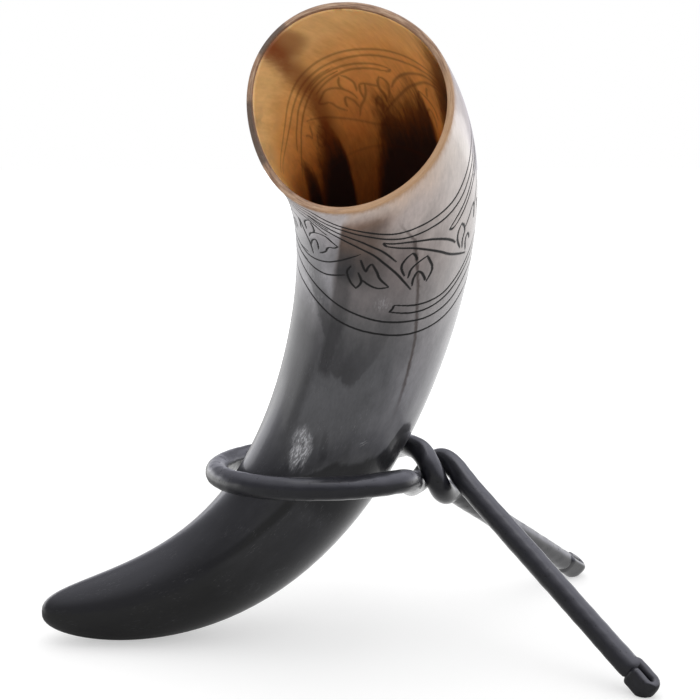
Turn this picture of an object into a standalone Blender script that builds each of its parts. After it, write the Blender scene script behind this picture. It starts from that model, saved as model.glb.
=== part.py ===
"""Drinking horn in its wrought iron stand.

Two pieces: a natural horn, hollowed from its mouth and solid at its tip, and a stand bent from one
round iron bar, which runs from toe to leg, through a full twist, round the ring and back again.
Metres, +Z up. The horn lies on the table with its belly and leans in the ring; its mouth faces -Y.
"""
from math import comb

import bmesh
import bpy
import numpy as np

# Horn: its middle line is a curve from the tip to the middle of the mouth
TIP_REACH = 0.0995
TIP_HEIGHT = 0.0117
MOUTH_HEIGHT = 0.1885
MOUTH_LEAN = 0.0571
SPINE = np.array(
    [
        (-TIP_REACH, -0.0044, TIP_HEIGHT),
        (0.0069, 0.0035, 0.0085),
        (0.0117, 0.0094, 0.0947),
        (0.0392, -0.0128, 0.1579),
        (0.0069, -MOUTH_LEAN, MOUTH_HEIGHT),
    ]
)

# Horn: thickness along the middle line, shape of its section, mouth and hollow
MOUTH_RADIUS = 0.0322
TAPER = 0.404
SWELL = 0.10
SECTION_OVAL = 0.025
SECTION_EGG = 0.026
EGG_TURN = 2.49
RIM_FACING = (-0.38, -0.872, 0.307)
RIM_WALL = 0.0023
RIM_BEVEL = 0.0006
HOLLOW_DEPTH = 0.175
HOLLOW_ROUNDNESS = 2.5

# Stand: the bar, the ring and how they meet the horn, which leans on the twist at the ring's right end
BAR_DIAMETER = 0.008
RING_HEIGHT = 0.0621
RING_SLACK = 0.0076
RING_DIP_BACK = 0.071
RING_RISE_RIGHT = 0.027
LEFT_GAP = 0.0019
SEAT_GAP = 0.0004

# Stand: the twist that closes the ring. Its sizes are in bar widths, from where it starts
TWIST_GAP = 0.0005
TWIST_PITCH_IN_BARS = 2.66
TWIST_DEPTH_IN_BARS = 0.782
OVER_HEIGHT_IN_BARS = 0.920
UNDER_HEIGHT_IN_BARS = 0.543
TWIST_RISE_IN_BARS = -0.315
TWIST_FALL = 0.071
RING_MOUTH_ANGLE = 0.988
NEAR_TURN = 1.937
FAR_TURN = 3.166
NEAR_KNEE_IN_BARS = (2.236, 1.108, 0.941)
FAR_KNEE_IN_BARS = (1.674, 0.986, 1.555)

# Stand: the legs, from the ring's middle to the feet and from foot to foot
FOOT_REACH = 0.1015846
FOOT_SPREAD = 0.1150411

# Stand: the hammered toe, folded back on itself at the end of each leg and ground flat below
NEAR_FOLD = (-0.72, -0.60, -0.12)
FAR_FOLD = (-0.35, 0.80, 0.45)
TOE_WIDTH = 0.0082
TOE_THICKNESS = 0.0032
TOE_SLIT = 0.0008
TOE_LENGTH = 0.0065
TOE_TAPER = 0.0014
TOE_GRINDING = 0.0012

# The horn draws out of the ring along its own curve, about a line parallel to Y
DRAW_CENTRE_BACK = 0.1212
DRAW_CENTRE_HEIGHT = 0.1256

# Facets: counts, how the horn's rows crowd to its tip and to its hollow's end, and angles in radians
HORN_SIDES = 40
HORN_ROWS = 36
HORN_ROW_POWER = 1.8
HOLLOW_ROWS = 22
HOLLOW_ROW_POWER = 0.8
BAR_SIDES = 14
TWIST_STEPS = 15
EASE_STEPS = 8
LEG_STEPS = 9
TOE_STEPS = 11
FOLD_STEPS = 8
RING_STEP = 0.105
SHARP_ANGLE = 0.7

# Measuring the gaps between the bar and the horn
SKIN_ROWS = 500
SKIN_SIDES = 72
SLIDE_HALVINGS = 24
SEAT_REACH_IN_BARS = 3.0

UP = np.array((0.0, 0.0, 1.0))
TOWARDS_DRINKER = np.array((0.0, -1.0, 0.0))


def unit(vectors):
    return vectors / np.linalg.norm(vectors, axis=-1, keepdims=True)


def spine_point(t):
    """Point of the horn's middle line at t, 0 at the tip and 1 in the mouth, and its direction."""
    degree = len(SPINE) - 1
    t = np.asarray(t, dtype=float)[..., None]
    point = sum(comb(degree, i) * t**i * (1 - t) ** (degree - i) * SPINE[i] for i in range(degree + 1))
    edges = np.diff(SPINE, axis=0)
    degree -= 1
    along = sum(comb(degree, i) * t**i * (1 - t) ** (degree - i) * edges[i] for i in range(degree + 1))
    return point, unit(along)


# The middle line runs on a little past the mouth, whose cut is slanted
SPINE_T = np.linspace(0.0, 1.15, 600)
SPINE_STEPS = np.linalg.norm(np.diff(spine_point(SPINE_T)[0], axis=0), axis=1)
SPINE_S = np.concatenate([[0.0], np.cumsum(SPINE_STEPS)])
MOUTH_AT = np.interp(1.0, SPINE_T, SPINE_S)


def horn_radius(s):
    """Mean radius at distance s from the tip: a power of the distance, a little swollen midway."""
    share = s / MOUTH_AT
    return MOUTH_RADIUS * share**TAPER * (1 + SWELL * share * (1 - share))


def skin_radius(s, angle):
    """Radius of the outside, whose section grows oval and egg-shaped towards the mouth."""
    oval = SECTION_OVAL * np.cos(2 * angle)
    egg = SECTION_EGG * np.cos(3 * angle - EGG_TURN)
    return horn_radius(s) * (1 + s / MOUTH_AT * (oval + egg))


def horn_point(s, angle, radius):
    """Point at distance s along the horn, at an angle round it from its front, off its middle line."""
    point, along = spine_point(np.interp(s, SPINE_S, SPINE_T))
    front = unit(TOWARDS_DRINKER - along * (along @ TOWARDS_DRINKER)[..., None])
    side = np.cross(along, front)
    return point + (np.cos(angle)[..., None] * front + np.sin(angle)[..., None] * side) * radius[..., None]


def rim_distance(angle):
    """Distance from the tip at which the slanted cut of the mouth meets the outside at each angle."""
    s, turn = np.meshgrid(np.linspace(0.6 * MOUTH_AT, SPINE_S[-1], 300), angle, indexing="ij")
    height = (horn_point(s, turn, skin_radius(s, turn)) - SPINE[-1]) @ np.array(RIM_FACING)
    return np.array([np.interp(0.0, height[:, j], s[:, j]) for j in range(len(angle))])


def horn_rings():
    """Rings up the outside from the tip, over the rim and down the hollow to its rounded end."""
    angle = np.linspace(0.0, 2 * np.pi, HORN_SIDES, endpoint=False)
    rim = rim_distance(angle)
    hollow_end = MOUTH_AT - HOLLOW_DEPTH

    def outside(s):
        return horn_point(s, angle, skin_radius(s, angle))

    def hollow(s):
        share = np.clip((s - hollow_end) / (rim - hollow_end), 0.0, 1.0)
        fill = (1 - (1 - share) ** HOLLOW_ROUNDNESS) ** (1 / HOLLOW_ROUNDNESS)
        return horn_point(s, angle, (skin_radius(s, angle) - RIM_WALL) * fill)

    across = unit(hollow(rim) - outside(rim)) * RIM_BEVEL
    up = [outside((rim - RIM_BEVEL) * (k / HORN_ROWS) ** HORN_ROW_POWER) for k in range(1, HORN_ROWS + 1)]
    over = [outside(rim) + across, hollow(rim) - across]
    depth = rim - RIM_BEVEL - hollow_end
    sunk = (np.arange(HOLLOW_ROWS) / HOLLOW_ROWS) ** HOLLOW_ROW_POWER
    down = [hollow(hollow_end + depth * (1 - share)) for share in sunk]
    tip = spine_point(0.0)[0]
    bottom = spine_point(np.interp(hollow_end, SPINE_S, SPINE_T))[0]
    return [tip, *up, *over, *down, bottom]


def ring_point(middle, radius, turn):
    """Point of the stand's ring at an angle from +X; the ring dips at the back and rises to the right."""
    x = radius * np.cos(turn)
    y = radius * np.sin(turn)
    return middle + np.stack([x, y, x * RING_RISE_RIGHT - y * RING_DIP_BACK], axis=-1)


def slide_off(skin, gap, low, high, line_at):
    """The x between low, inside the horn, and high, clear of it, at which a bar just keeps a gap from it.

    line_at gives the bar's middle line for an x.
    """
    for _ in range(SLIDE_HALVINGS):
        x = (low + high) / 2
        nearest = np.linalg.norm(line_at(x)[:, None] - skin, axis=2).min()
        if nearest > gap + BAR_DIAMETER / 2:
            high = x
        else:
            low = x
    return high


def seat_stand(drop):
    """Middle and radius of the ring, and the x at which the twist starts, so that both clear the horn."""
    s, angle = np.meshgrid(
        np.linspace(0.0, MOUTH_AT, SKIN_ROWS),
        np.linspace(0.0, 2 * np.pi, SKIN_SIDES),
        indexing="ij",
    )
    skin = horn_point(s, angle, skin_radius(s, angle)) - UP * drop
    skin = skin[np.abs(skin[..., 2] - RING_HEIGHT) < SEAT_REACH_IN_BARS * BAR_DIAMETER]
    point, along = spine_point(np.interp(s[:, 0], SPINE_S, SPINE_T))
    seat = np.argmin(np.abs(point[:, 2] - drop - RING_HEIGHT))
    centre = point[seat, 0]
    half_width = horn_radius(s[seat, 0]) * np.hypot(along[seat, 0], along[seat, 2]) / along[seat, 2]
    radius = half_width + RING_SLACK + BAR_DIAMETER / 2
    left_end = np.linspace(0.75 * np.pi, 1.25 * np.pi, SKIN_SIDES)

    def ring_at(x):
        return ring_point(np.array((x, 0.0, RING_HEIGHT)), radius, left_end)

    def twist_at(x):
        return half_bar(middle, radius, x, 1.0, BAR_DIAMETER)[0][: EASE_STEPS + TWIST_STEPS]

    ring_x = slide_off(skin, LEFT_GAP, centre + radius, centre - radius, ring_at)
    middle = np.array((ring_x, 0.0, RING_HEIGHT))
    return middle, radius, slide_off(skin, SEAT_GAP, ring_x, ring_x + 2 * radius, twist_at)


def ease(start, start_heading, end, end_heading):
    """Points of a smooth cubic between two ends with their headings, without the ends."""
    t = np.linspace(0.0, 1.0, EASE_STEPS + 2)[1:-1, None]
    reach = np.linalg.norm(end - start)
    leaving = unit(start_heading) * reach
    arriving = unit(end_heading) * reach
    blend = 3 * t**2 - 2 * t**3
    return start * (1 - blend) + end * blend + leaving * (t**3 - 2 * t**2 + t) + arriving * (t**3 - t**2)


def half_bar(middle, radius, twist_x, side, foot_height):
    """Middle line of the bar from the ring through the twist and down one leg, to its toe's tip.

    side is 1 for the back end of the ring, which goes over the front one, down before it and under it
    to the far leg. The front end, -1, goes under, up behind and over to the near leg. Each makes half a
    turn of a flattened helix whose axis falls along X. Also gives the heading at each point, how flat the
    bar is hammered there, from 0 to 1 in the toe, and the toe's width direction.
    """
    bar = BAR_DIAMETER + TWIST_GAP
    start = np.array((twist_x, 0.0, ring_point(middle, radius, 0.0)[2]))
    if side > 0:
        height, turns, knee_in_bars, outwards = OVER_HEIGHT_IN_BARS, FAR_TURN, FAR_KNEE_IN_BARS, FAR_FOLD
    else:
        height, turns, knee_in_bars, outwards = UNDER_HEIGHT_IN_BARS, NEAR_TURN, NEAR_KNEE_IN_BARS, NEAR_FOLD
    turn = np.linspace(0.0, turns, TWIST_STEPS)
    x = TWIST_PITCH_IN_BARS * turn / (2 * np.pi)
    y = -side * TWIST_DEPTH_IN_BARS * np.sin(turn)
    z = side * height * np.cos(turn) + TWIST_RISE_IN_BARS - TWIST_FALL * x
    helix = start + np.stack([x, y, z], axis=1) * bar
    opening = ring_point(middle, radius, side * RING_MOUTH_ANGLE)
    opening_heading = opening - ring_point(middle, radius, side * (RING_MOUTH_ANGLE + RING_STEP))
    knee = start + np.array(knee_in_bars) * (1.0, side, -1.0) * bar
    foot = np.array((middle[0] + FOOT_REACH, side * FOOT_SPREAD / 2, foot_height))
    down = unit(foot - knee)
    outwards = unit(np.array(outwards) - down * (down @ outwards))
    fold = outwards * (TOE_THICKNESS + TOE_SLIT) / 2
    length = np.linalg.norm(foot - knee)
    taper_from = length - TOE_LENGTH - TOE_TAPER
    straight = np.linspace(0.0, taper_from, LEG_STEPS, endpoint=False)
    leg_at = np.concatenate([straight, np.linspace(taper_from, length, TOE_STEPS)])
    leg = knee + down * leg_at[:, None]
    flat = np.clip((leg_at - taper_from) / TOE_TAPER, 0.0, 1.0)
    flat = flat * flat * (3 - 2 * flat)
    leg -= fold * flat[:, None]
    bend = np.linspace(0.0, np.pi, FOLD_STEPS + 1)[1:, None]
    toe = foot - fold * np.cos(bend) + down * np.linalg.norm(fold) * np.sin(bend)
    back = foot + fold - down * TOE_LENGTH * np.linspace(0.0, 1.0, FOLD_STEPS // 2)[1:, None]
    round_part = [
        ease(opening, opening_heading, helix[0], helix[1] - helix[0]),
        helix,
        ease(helix[-1], helix[-1] - helix[-2], knee, down),
    ]
    line = np.concatenate([*round_part, leg, toe, back])
    heading = unit(np.gradient(line, axis=0))
    after_leg = len(line) - len(toe) - len(back)
    before_leg = after_leg - len(leg)
    heading[before_leg:after_leg] = down
    flatness = np.concatenate([np.zeros(before_leg), flat, np.ones(len(line) - after_leg)])
    return line, heading, flatness, np.cross(down, outwards)


def bar_rings(middle, radius, twist_x, foot_height):
    """Rings of the whole bar from toe to toe: round, and hammered flat towards both ends."""
    near, near_heading, near_flat, near_width = half_bar(middle, radius, twist_x, -1.0, foot_height)
    far, far_heading, far_flat, far_width = half_bar(middle, radius, twist_x, 1.0, foot_height)
    turn = np.arange(RING_MOUTH_ANGLE, 2 * np.pi - RING_MOUTH_ANGLE, RING_STEP)
    ring = ring_point(middle, radius, turn)
    line = np.concatenate([far[::-1], ring, near])
    along = np.concatenate([-far_heading[::-1], unit(np.gradient(ring, axis=0)), near_heading])
    flatness = np.concatenate([far_flat[::-1], np.zeros(len(ring)), near_flat])
    normal = unit(np.cross(along[0], UP))
    sides = np.linspace(0.0, 2 * np.pi, BAR_SIDES, endpoint=False)[:, None]
    rings = []
    for k, (point, heading, flat) in enumerate(zip(line, along, flatness)):
        normal = unit(normal - heading * (normal @ heading))
        spoke = (np.cos(sides) * normal + np.sin(sides) * np.cross(heading, normal)) * BAR_DIAMETER / 2
        if flat > 0:
            width = far_width if k < len(far) else near_width
            over = np.cross(heading, width)
            wider = 1 + flat * (TOE_WIDTH / BAR_DIAMETER - 1)
            thinner = 1 + flat * (TOE_THICKNESS / BAR_DIAMETER - 1)
            spoke = np.outer(spoke @ width, width) * wider + np.outer(spoke @ over, over) * thinner
        rings.append(point + spoke)
    return rings


def loft(rings):
    """Closed mesh through rings of points; a lone point at an end is a pole, and a ring there is capped."""
    mesh = bmesh.new()
    loops = [[mesh.verts.new(p) for p in np.atleast_2d(ring)] for ring in rings]
    for low, high in zip(loops, loops[1:]):
        for j in range(max(len(low), len(high))):
            a, b = low[j % len(low)], low[(j + 1) % len(low)]
            c, d = high[(j + 1) % len(high)], high[j % len(high)]
            mesh.faces.new(list(dict.fromkeys((a, b, c, d))))
    for loop in (loops[0], loops[-1]):
        if len(loop) > 1:
            mesh.faces.new(loop)
    bmesh.ops.recalc_face_normals(mesh, faces=mesh.faces)
    return mesh


def grind_flat(mesh):
    """Cut a mesh off level with the table and close the cut."""
    geometry = [*mesh.verts, *mesh.edges, *mesh.faces]
    table = {"plane_co": (0, 0, 0), "plane_no": (0, 0, 1)}
    cut = bmesh.ops.bisect_plane(mesh, geom=geometry, clear_inner=True, **table)
    edges = [e for e in cut["geom_cut"] if isinstance(e, bmesh.types.BMEdge)]
    bmesh.ops.holes_fill(mesh, edges=edges)
    bmesh.ops.recalc_face_normals(mesh, faces=mesh.faces)


def finish(name, mesh, colour, roughness, metallic, origin):
    """Object from a mesh, with its own origin and its own material."""
    bmesh.ops.translate(mesh, verts=mesh.verts, vec=-origin)
    data = bpy.data.meshes.new(name)
    mesh.to_mesh(data)
    mesh.free()
    data.shade_smooth()
    data.set_sharp_from_angle(angle=SHARP_ANGLE)
    material = bpy.data.materials.new(name)
    material.use_nodes = True
    shader = material.node_tree.nodes["Principled BSDF"]
    shader.inputs["Base Color"].default_value = (*colour, 1.0)
    shader.inputs["Roughness"].default_value = roughness
    shader.inputs["Metallic"].default_value = metallic
    data.materials.append(material)
    piece = bpy.data.objects.new(name, data)
    piece.location = origin
    bpy.context.collection.objects.link(piece)
    return piece


def build():
    for old in list(bpy.data.objects):
        bpy.data.objects.remove(old, do_unlink=True)
    horn_shape = horn_rings()
    drop = min(np.atleast_2d(ring)[:, 2].min() for ring in horn_shape)
    horn_shape = [ring - UP * drop for ring in horn_shape]
    middle, radius, twist_x = seat_stand(drop)
    foot_height = BAR_DIAMETER / 2
    for _ in range(4):
        stand_shape = bar_rings(middle, radius, twist_x, foot_height)
        lowest = min(ring[:, 2].min() for ring in stand_shape)
        foot_height -= lowest + TOE_GRINDING
    stand_mesh = loft(stand_shape)
    grind_flat(stand_mesh)
    draw_centre = np.array((middle[0] - DRAW_CENTRE_BACK, 0.0, DRAW_CENTRE_HEIGHT))
    horn = finish("horn", loft(horn_shape), (0.055, 0.05, 0.047), 0.3, 0.0, draw_centre)
    stand = finish("iron_stand", stand_mesh, (0.012, 0.012, 0.014), 0.42, 0.6, middle)

    # The origin is the middle of the footprint
    corners = np.concatenate([*[np.atleast_2d(ring) for ring in horn_shape], *stand_shape])
    footprint = bpy.data.objects.new("footprint", None)
    bpy.context.collection.objects.link(footprint)
    centre = (corners.min(axis=0) + corners.max(axis=0)) / 2
    footprint.location = (-centre[0], -centre[1], 0.0)
    horn.parent = footprint
    stand.parent = footprint


build()
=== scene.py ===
"""Drinking horn in its iron stand: the looks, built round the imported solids.

The horn is one closed surface over (row, angle): up the outside, over the cut rim and down the hollow. Its
cells are split finely only where the engraved leaf-scroll band runs. The stand is one bar swept along its
line. Metres in space; the horn's own map is the angle round it in degrees from its front and millimetres
from its tip.
"""
from math import comb, radians

import bpy
import numpy as np
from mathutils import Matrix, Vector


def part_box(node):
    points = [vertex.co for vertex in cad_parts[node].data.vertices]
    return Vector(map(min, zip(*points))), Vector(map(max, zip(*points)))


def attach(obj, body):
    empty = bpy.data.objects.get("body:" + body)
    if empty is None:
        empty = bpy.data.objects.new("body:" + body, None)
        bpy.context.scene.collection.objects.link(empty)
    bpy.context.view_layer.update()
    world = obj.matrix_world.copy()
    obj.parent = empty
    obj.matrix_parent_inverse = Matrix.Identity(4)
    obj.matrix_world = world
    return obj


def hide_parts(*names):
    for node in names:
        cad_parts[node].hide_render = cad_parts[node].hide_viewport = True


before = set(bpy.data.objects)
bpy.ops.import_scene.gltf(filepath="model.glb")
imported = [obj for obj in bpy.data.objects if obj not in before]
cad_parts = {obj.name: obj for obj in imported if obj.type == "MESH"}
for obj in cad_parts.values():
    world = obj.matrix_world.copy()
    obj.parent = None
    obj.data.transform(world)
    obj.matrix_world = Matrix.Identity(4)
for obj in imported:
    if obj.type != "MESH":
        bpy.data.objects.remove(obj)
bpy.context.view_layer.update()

# Horn: the sizes of its solid, and where its solid stands in the shared frame
HORN_PLACE = np.array((-0.0043528, 0.0059853, -0.0005844))
SPINE = HORN_PLACE + np.array([
    (-0.0995, -0.0044, 0.0117), (0.0069, 0.0035, 0.0085), (0.0117, 0.0094, 0.0947),
    (0.0392, -0.0128, 0.1579), (0.0069, -0.0571, 0.1885),
])
MOUTH_RADIUS = 0.0322
TAPER = 0.404
SWELL = 0.10
SECTION_OVAL = 0.025
SECTION_EGG = 0.026
EGG_TURN = 2.49
RIM_FACING = np.array((-0.38, -0.872, 0.307))
RIM_WALL = 0.0023
RIM_ROUNDING = 0.0006
HOLLOW_DEPTH = 0.175
HOLLOW_ROUNDNESS = 2.5
TOWARDS_DRINKER = np.array((0.0, -1.0, 0.0))
MM = 0.001

# Horn: its mesh
SPINE_OVERRUN = 1.15
SPINE_STEPS = 600
RIM_SEARCH_FROM = 0.6
RIM_SEARCH_STEPS = 300
COLUMNS = 192
SPLIT = 3
TIP_ROWS = 43
TIP_ROW_POWER = 1.7
BAND_FROM = 0.655
BAND_ROWS = 90
BAND_TO = 0.988
LAST_ROWS = 3
ROUNDING_ROWS = 4
RIM_ROWS = 4
THROUGH_ROWS = 42
THROUGH_DEPTH = 0.30
HOLLOW_ROWS = 20
HOLLOW_ROW_POWER = 0.9

# Engraving, in millimetres across and deep; a stroke thins to a share of its width at both ends
LINE_HALF_WIDTH = 0.48
LINE_DEPTH = 0.20
THROUGH_HALF_WIDTH = 0.70
PEN_END_SHARE = 0.5
PEN_SWELL = 7.0
STROKE_STEPS = 6
REPEATS = (115.0, 235.0)

# Where lines are looked for, in degrees and millimetres; elsewhere they count as NO_LINE half widths away
BAND_FOOT = 180.0
# Where the engraving's painted shadow shows on the hollow through the thin wall
THROUGH_FOOT = 214.0
THROUGH_SIDES = (88.0, 262.0)
THROUGH_LEAVES = (125.0, 222.0)
THROUGH_LEAVES_FOOT = 226.0
NEAR_DEGREES = 3.0
NEAR_MM = 2.0
NO_LINE = 9.0
SPLIT_REACH = 1.02

# Border lines round the whole horn, as (angle, distance from the tip): two above the band and two below it
UPPER_BORDER = [
    (-75, 255), (-60, 253.5), (-52, 249.3), (-42.6, 245), (-36, 242.7), (-30, 241), (-22.6, 239),
    (-14.2, 237), (-5, 235.4), (5, 235.2), (12.4, 235.6), (20.7, 236.2), (32.4, 237.8), (43.2, 241),
    (53.2, 244), (65, 246.2), (80, 247.8), (95, 249), (110, 250.5), (120, 251.8), (135, 253.2),
    (150, 254.5), (165, 256.2), (180, 257.5), (195, 257.5), (210, 255.5), (225, 252.5), (240, 251),
    (255, 252), (270, 254),
]
INNER_BORDER = [
    (-75, 251.6), (-60, 250), (-53.4, 246.4), (-47.6, 244), (-41, 241.7), (-34.2, 239.7), (-27.6, 237.7),
    (-19.2, 235.7), (-11, 233.7), (-5, 232.6), (1.6, 231.9), (8.2, 231.9), (15, 232.3), (28.2, 233.5),
    (35, 234.8), (41.6, 236.6), (48.2, 239), (58, 241.8), (80, 244.5), (95, 246), (115, 248.8),
    (135, 250.3), (150, 252), (165, 253.5), (180, 254.8), (195, 254.8), (210, 252.6), (225, 249.5),
    (240, 248), (255, 249), (270, 250.8),
]
LOWER_BORDER = [
    (-77, 205.5), (-60, 201), (-45, 197), (-30, 193.5), (-15, 191.6), (0, 190.8), (15, 191.5), (30, 193),
    (45, 197), (60, 204), (80, 210), (110, 216), (150, 221), (180, 222.5), (210, 221), (245, 215),
    (265, 210),
]
LOWEST_BORDER = [
    (-79, 198), (-60, 194), (-45, 190), (-30, 186.5), (-15, 185.1), (0, 185), (15, 185.6), (30, 187.8),
    (45, 191.5), (60, 197), (80, 203), (110, 209.5), (150, 215), (180, 216.5), (210, 215), (245, 208.5),
    (265, 203),
]

# Strokes of the leaf scroll on the front, each through a few points (angle, distance from the tip)
SCROLL = [
    # vine from the upper left to the lower middle, a pair of lines that ends in a point
    [(-60, 247), (-50, 242.3), (-40, 238), (-30, 234.7), (-24, 232.7), (-16, 229.3), (-10, 226.7),
     (-5, 223.7), (0, 220.3)],
    [(-60, 244), (-50, 239), (-40, 235), (-30, 231), (-15, 224.7), (-6.8, 219.7), (1.6, 214.3),
     (7.4, 210), (12.8, 206)],
    # vine under the border towards the right
    [(-10, 231.3), (-5, 230.2), (5, 229.3), (16.6, 227.7), (23.3, 226.2), (30, 224.2), (35, 222.2),
     (38.2, 220.5)],
    [(-7.6, 229), (0, 227.3), (9, 225.7), (18.3, 223), (26.6, 220.2), (35, 217), (43.3, 214.8),
     (51.2, 213)],
    [(-10, 231.3), (-9, 230), (-7.6, 229)],
    # closed end of the vine below the border at the right
    [(31.2, 227.7), (36.6, 230.3), (43.3, 233), (50, 236), (58, 238.6), (68, 240.5), (80, 241)],
    [(35.8, 227.3), (41.6, 229.7), (48.3, 232.7), (56, 235.5), (68, 237.2), (80, 237.4)],
    [(31.2, 227.7), (33.4, 227), (35.8, 227.3)],
    # three leaves in the middle
    [(9, 223.5), (5.8, 221.3), (3.9, 218), (4.9, 215.3), (7, 212.7)],
    [(9, 223.5), (11.2, 221.7), (12.8, 219.4)],
    [(9.5, 211.7), (9.9, 215), (12, 217.3), (15.8, 219.3), (18.7, 220.3)],
    [(18.7, 220.3), (20.8, 218), (23.2, 215.3), (23.7, 212.7), (21.6, 208.7)],
    [(13.2, 207.7), (12.8, 210.3), (13.7, 213), (15, 214.2)],
    [(15, 214.2), (17.4, 213), (19.5, 211), (20.8, 209.3)],
    # small leaves at the right
    [(42, 226), (40, 224.3), (39.5, 222), (40.8, 219.7), (43.7, 217)],
    [(42, 226), (45, 224.3), (46.4, 222), (45.3, 219.3), (46.2, 216.3)],
    [(46.6, 223.3), (50, 225.3), (53.3, 227.3), (55.8, 228.2)],
    [(55.8, 228.2), (58, 226), (58.6, 222.6)],
    [(50, 220), (49, 217.7), (50.8, 214.3)],
    [(50, 220), (52.4, 219), (54, 217.3)],
    # leaves at the left and their stem
    [(-59.2, 240.8), (-61, 239.3), (-62.2, 236.3), (-61.3, 233), (-60.2, 230.3)],
    [(-57.6, 239.3), (-55.5, 236.3), (-54, 233.3), (-54.2, 231.3), (-55.5, 230)],
    [(-57.8, 225.7), (-56.8, 228.7), (-53.4, 231.3), (-49.2, 232.3), (-45, 231.7), (-41, 229.3),
     (-36.4, 226.8)],
    [(-36.4, 226.8), (-38.4, 225.3), (-41.8, 224.7)],
    [(-41.8, 224.7), (-43, 223.3), (-43.8, 221), (-46, 219), (-48, 218)],
    [(-56, 219.7), (-55, 223.7), (-52.6, 226.2)],
    [(-52.6, 226.2), (-50.6, 224), (-49.2, 220)],
    [(-67.2, 235.3), (-64.7, 230.3), (-61, 225.3), (-56.8, 220.7), (-53.4, 215)],
    # vine along the lower left
    [(-80, 216), (-66, 213), (-57.6, 212), (-49.2, 212.7), (-41, 214.7), (-34.2, 217.7),
     (-29.2, 220.3), (-22, 224.3)],
    [(-80, 210.8), (-67.6, 209), (-59.2, 207.7), (-51, 206.7), (-42.6, 206.8), (-36, 208.2),
     (-29, 210.3)],
    # leaves left of the middle
    [(-26, 216.5), (-27.8, 212.5), (-25, 207.7), (-20.6, 204.6)],
    [(-20.6, 204.6), (-18.6, 207), (-18.2, 209.4), (-21, 213.5)],
    [(-21, 221), (-18.4, 216.7), (-16.3, 214.3)],
    [(-16.3, 214.3), (-15.5, 217.4), (-13.8, 219.3)],
    [(-13.8, 219.3), (-10, 215), (-7.2, 211.3), (-1.3, 207.6)],
    [(-17.8, 209.8), (-13.4, 207.7), (-7.6, 206.4), (-1.3, 207.2)],
    # vine with a slanted closed end above the lower border
    [(5, 198.8), (20, 198.8), (35, 201), (45, 205), (55, 210), (66, 216)],
    [(3, 195.5), (15, 195.3), (27, 196.5), (40, 200), (52, 205.5), (66, 212)],
    [(5, 198.8), (4.4, 197), (3, 195.5)],
]
SEEN_FROM = -62.0
SEEN_TO = 64.0

# Marks on the horn, as (angle, distance): the top of the hollow's black, painted shade over the horn's dark
# colour, the foot of the dark clouds and the top of the painted shade of the ring with its dark stain. The
# streak inside and the crack are (distance, angle)
SHADE_AND_BLACK_REACH = [
    (0, 252), (40, 262), (66, 264), (82, 260), (92, 257), (100, 252), (107, 247), (113, 241), (119, 231),
    (125, 220), (130, 221), (134, 236), (138, 236), (150, 232), (162, 231), (172, 227), (178, 217),
    (184, 200), (191, 190), (198, 200), (202, 226), (208, 232), (216, 228), (224, 220), (229, 212),
    (234, 223), (240, 228), (245, 217), (250, 202), (275, 195), (300, 205), (330, 235),
]
CLOUD_EDGE = [
    (-180, 215), (-60, 200), (-46, 188), (-38, 178), (-25, 163), (-14, 159), (-6, 161), (1, 170),
    (10, 188), (30, 200), (179, 215),
]
BROWN_STREAK = [(190, 211), (225, 209), (234, 206), (248, 197), (260, 190), (276, 178)]
CRACK = [
    (150, 32), (184, 25), (197, 20), (206, 17.5), (218, 13), (230, 8), (238, -1), (243, -5), (252, -11),
]
RING_SHADE_AND_STAIN_EDGE = [
    (-180, 60), (-24, 100), (-12, 118), (-7, 122), (4, 128), (15, 130), (28, 134), (35, 136), (40, 141),
    (44, 149), (52, 149), (60, 146), (80, 120), (120, 60), (180, 60),
]

# Stand: the sizes of its solid, in the shared frame
RING_MIDDLE = np.array((-0.0021986, 0.0059853, 0.0621))
RING_RADIUS = 0.03896
RING_DIP_BACK = 0.071
RING_RISE_RIGHT = 0.027
BAR_DIAMETER = 0.008
TWIST_START = 0.0297513
STRAND_PITCH = 0.0085
TWIST_PITCH_IN_BARS = 2.66
TWIST_DEPTH_IN_BARS = 0.782
TWIST_RISE_IN_BARS = -0.315
TWIST_FALL = 0.071
RING_MOUTH_ANGLE = 0.988
RING_MOUTH_STEP = 0.105
OVER_STRAND = dict(
    side=1.0, height=0.920, turns=3.166, knee=(1.674, 0.986, 1.555), fold=(-0.35, 0.80, 0.45)
)
UNDER_STRAND = dict(
    side=-1.0, height=0.543, turns=1.937, knee=(2.236, 1.108, 0.941), fold=(-0.72, -0.60, -0.12)
)
FOOT_REACH = 0.1015846
FOOT_SPREAD = 0.1150411
FOOT_HEIGHT = 0.0033617
TOE_WIDTH = 0.0082
TOE_THICKNESS = 0.0032
TOE_SLIT = 0.0008
TOE_FULLNESS = 0.0006
TOE_SQUARENESS = 0.25
TOE_LENGTH = 0.0065
TOE_TAPER = 0.0014
LIP_ROUNDING = 0.0018
LIP_LEAST = 0.03

# Stand: its mesh, and how uneven the hammered bar is. A wave has its turns round the bar, its radians per
# metre along it and its start
BAR_STEP = 0.00055
TOE_STEP = 0.0002
BAR_SIDES = 44
PATH_STEPS = 60
FINE_LEG = 0.02
OFF_THE_BAR = (0.25, 0.1, 0.96)
HAMMERING = 0.000045
HAMMER_WAVES = [(1, 410, 0.0), (2, -730, 1.3), (3, 1190, 0.4)]
FLATTER = 0.00009
FACET_TURNS = 95

# Floor, just under the feet, and the photograph's view
FLOOR_LEVEL = -0.0002
FLOOR_HALF = 4.0
CAMERA_AT = (-0.012219, -0.456725, 0.18554)
CAMERA_TILT = radians(80.0)
CAMERA_TURN = -0.0393
SENSOR = 36.0
FOCAL_PIXELS = 1344.2
PICTURE_PIXELS = 700

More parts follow.
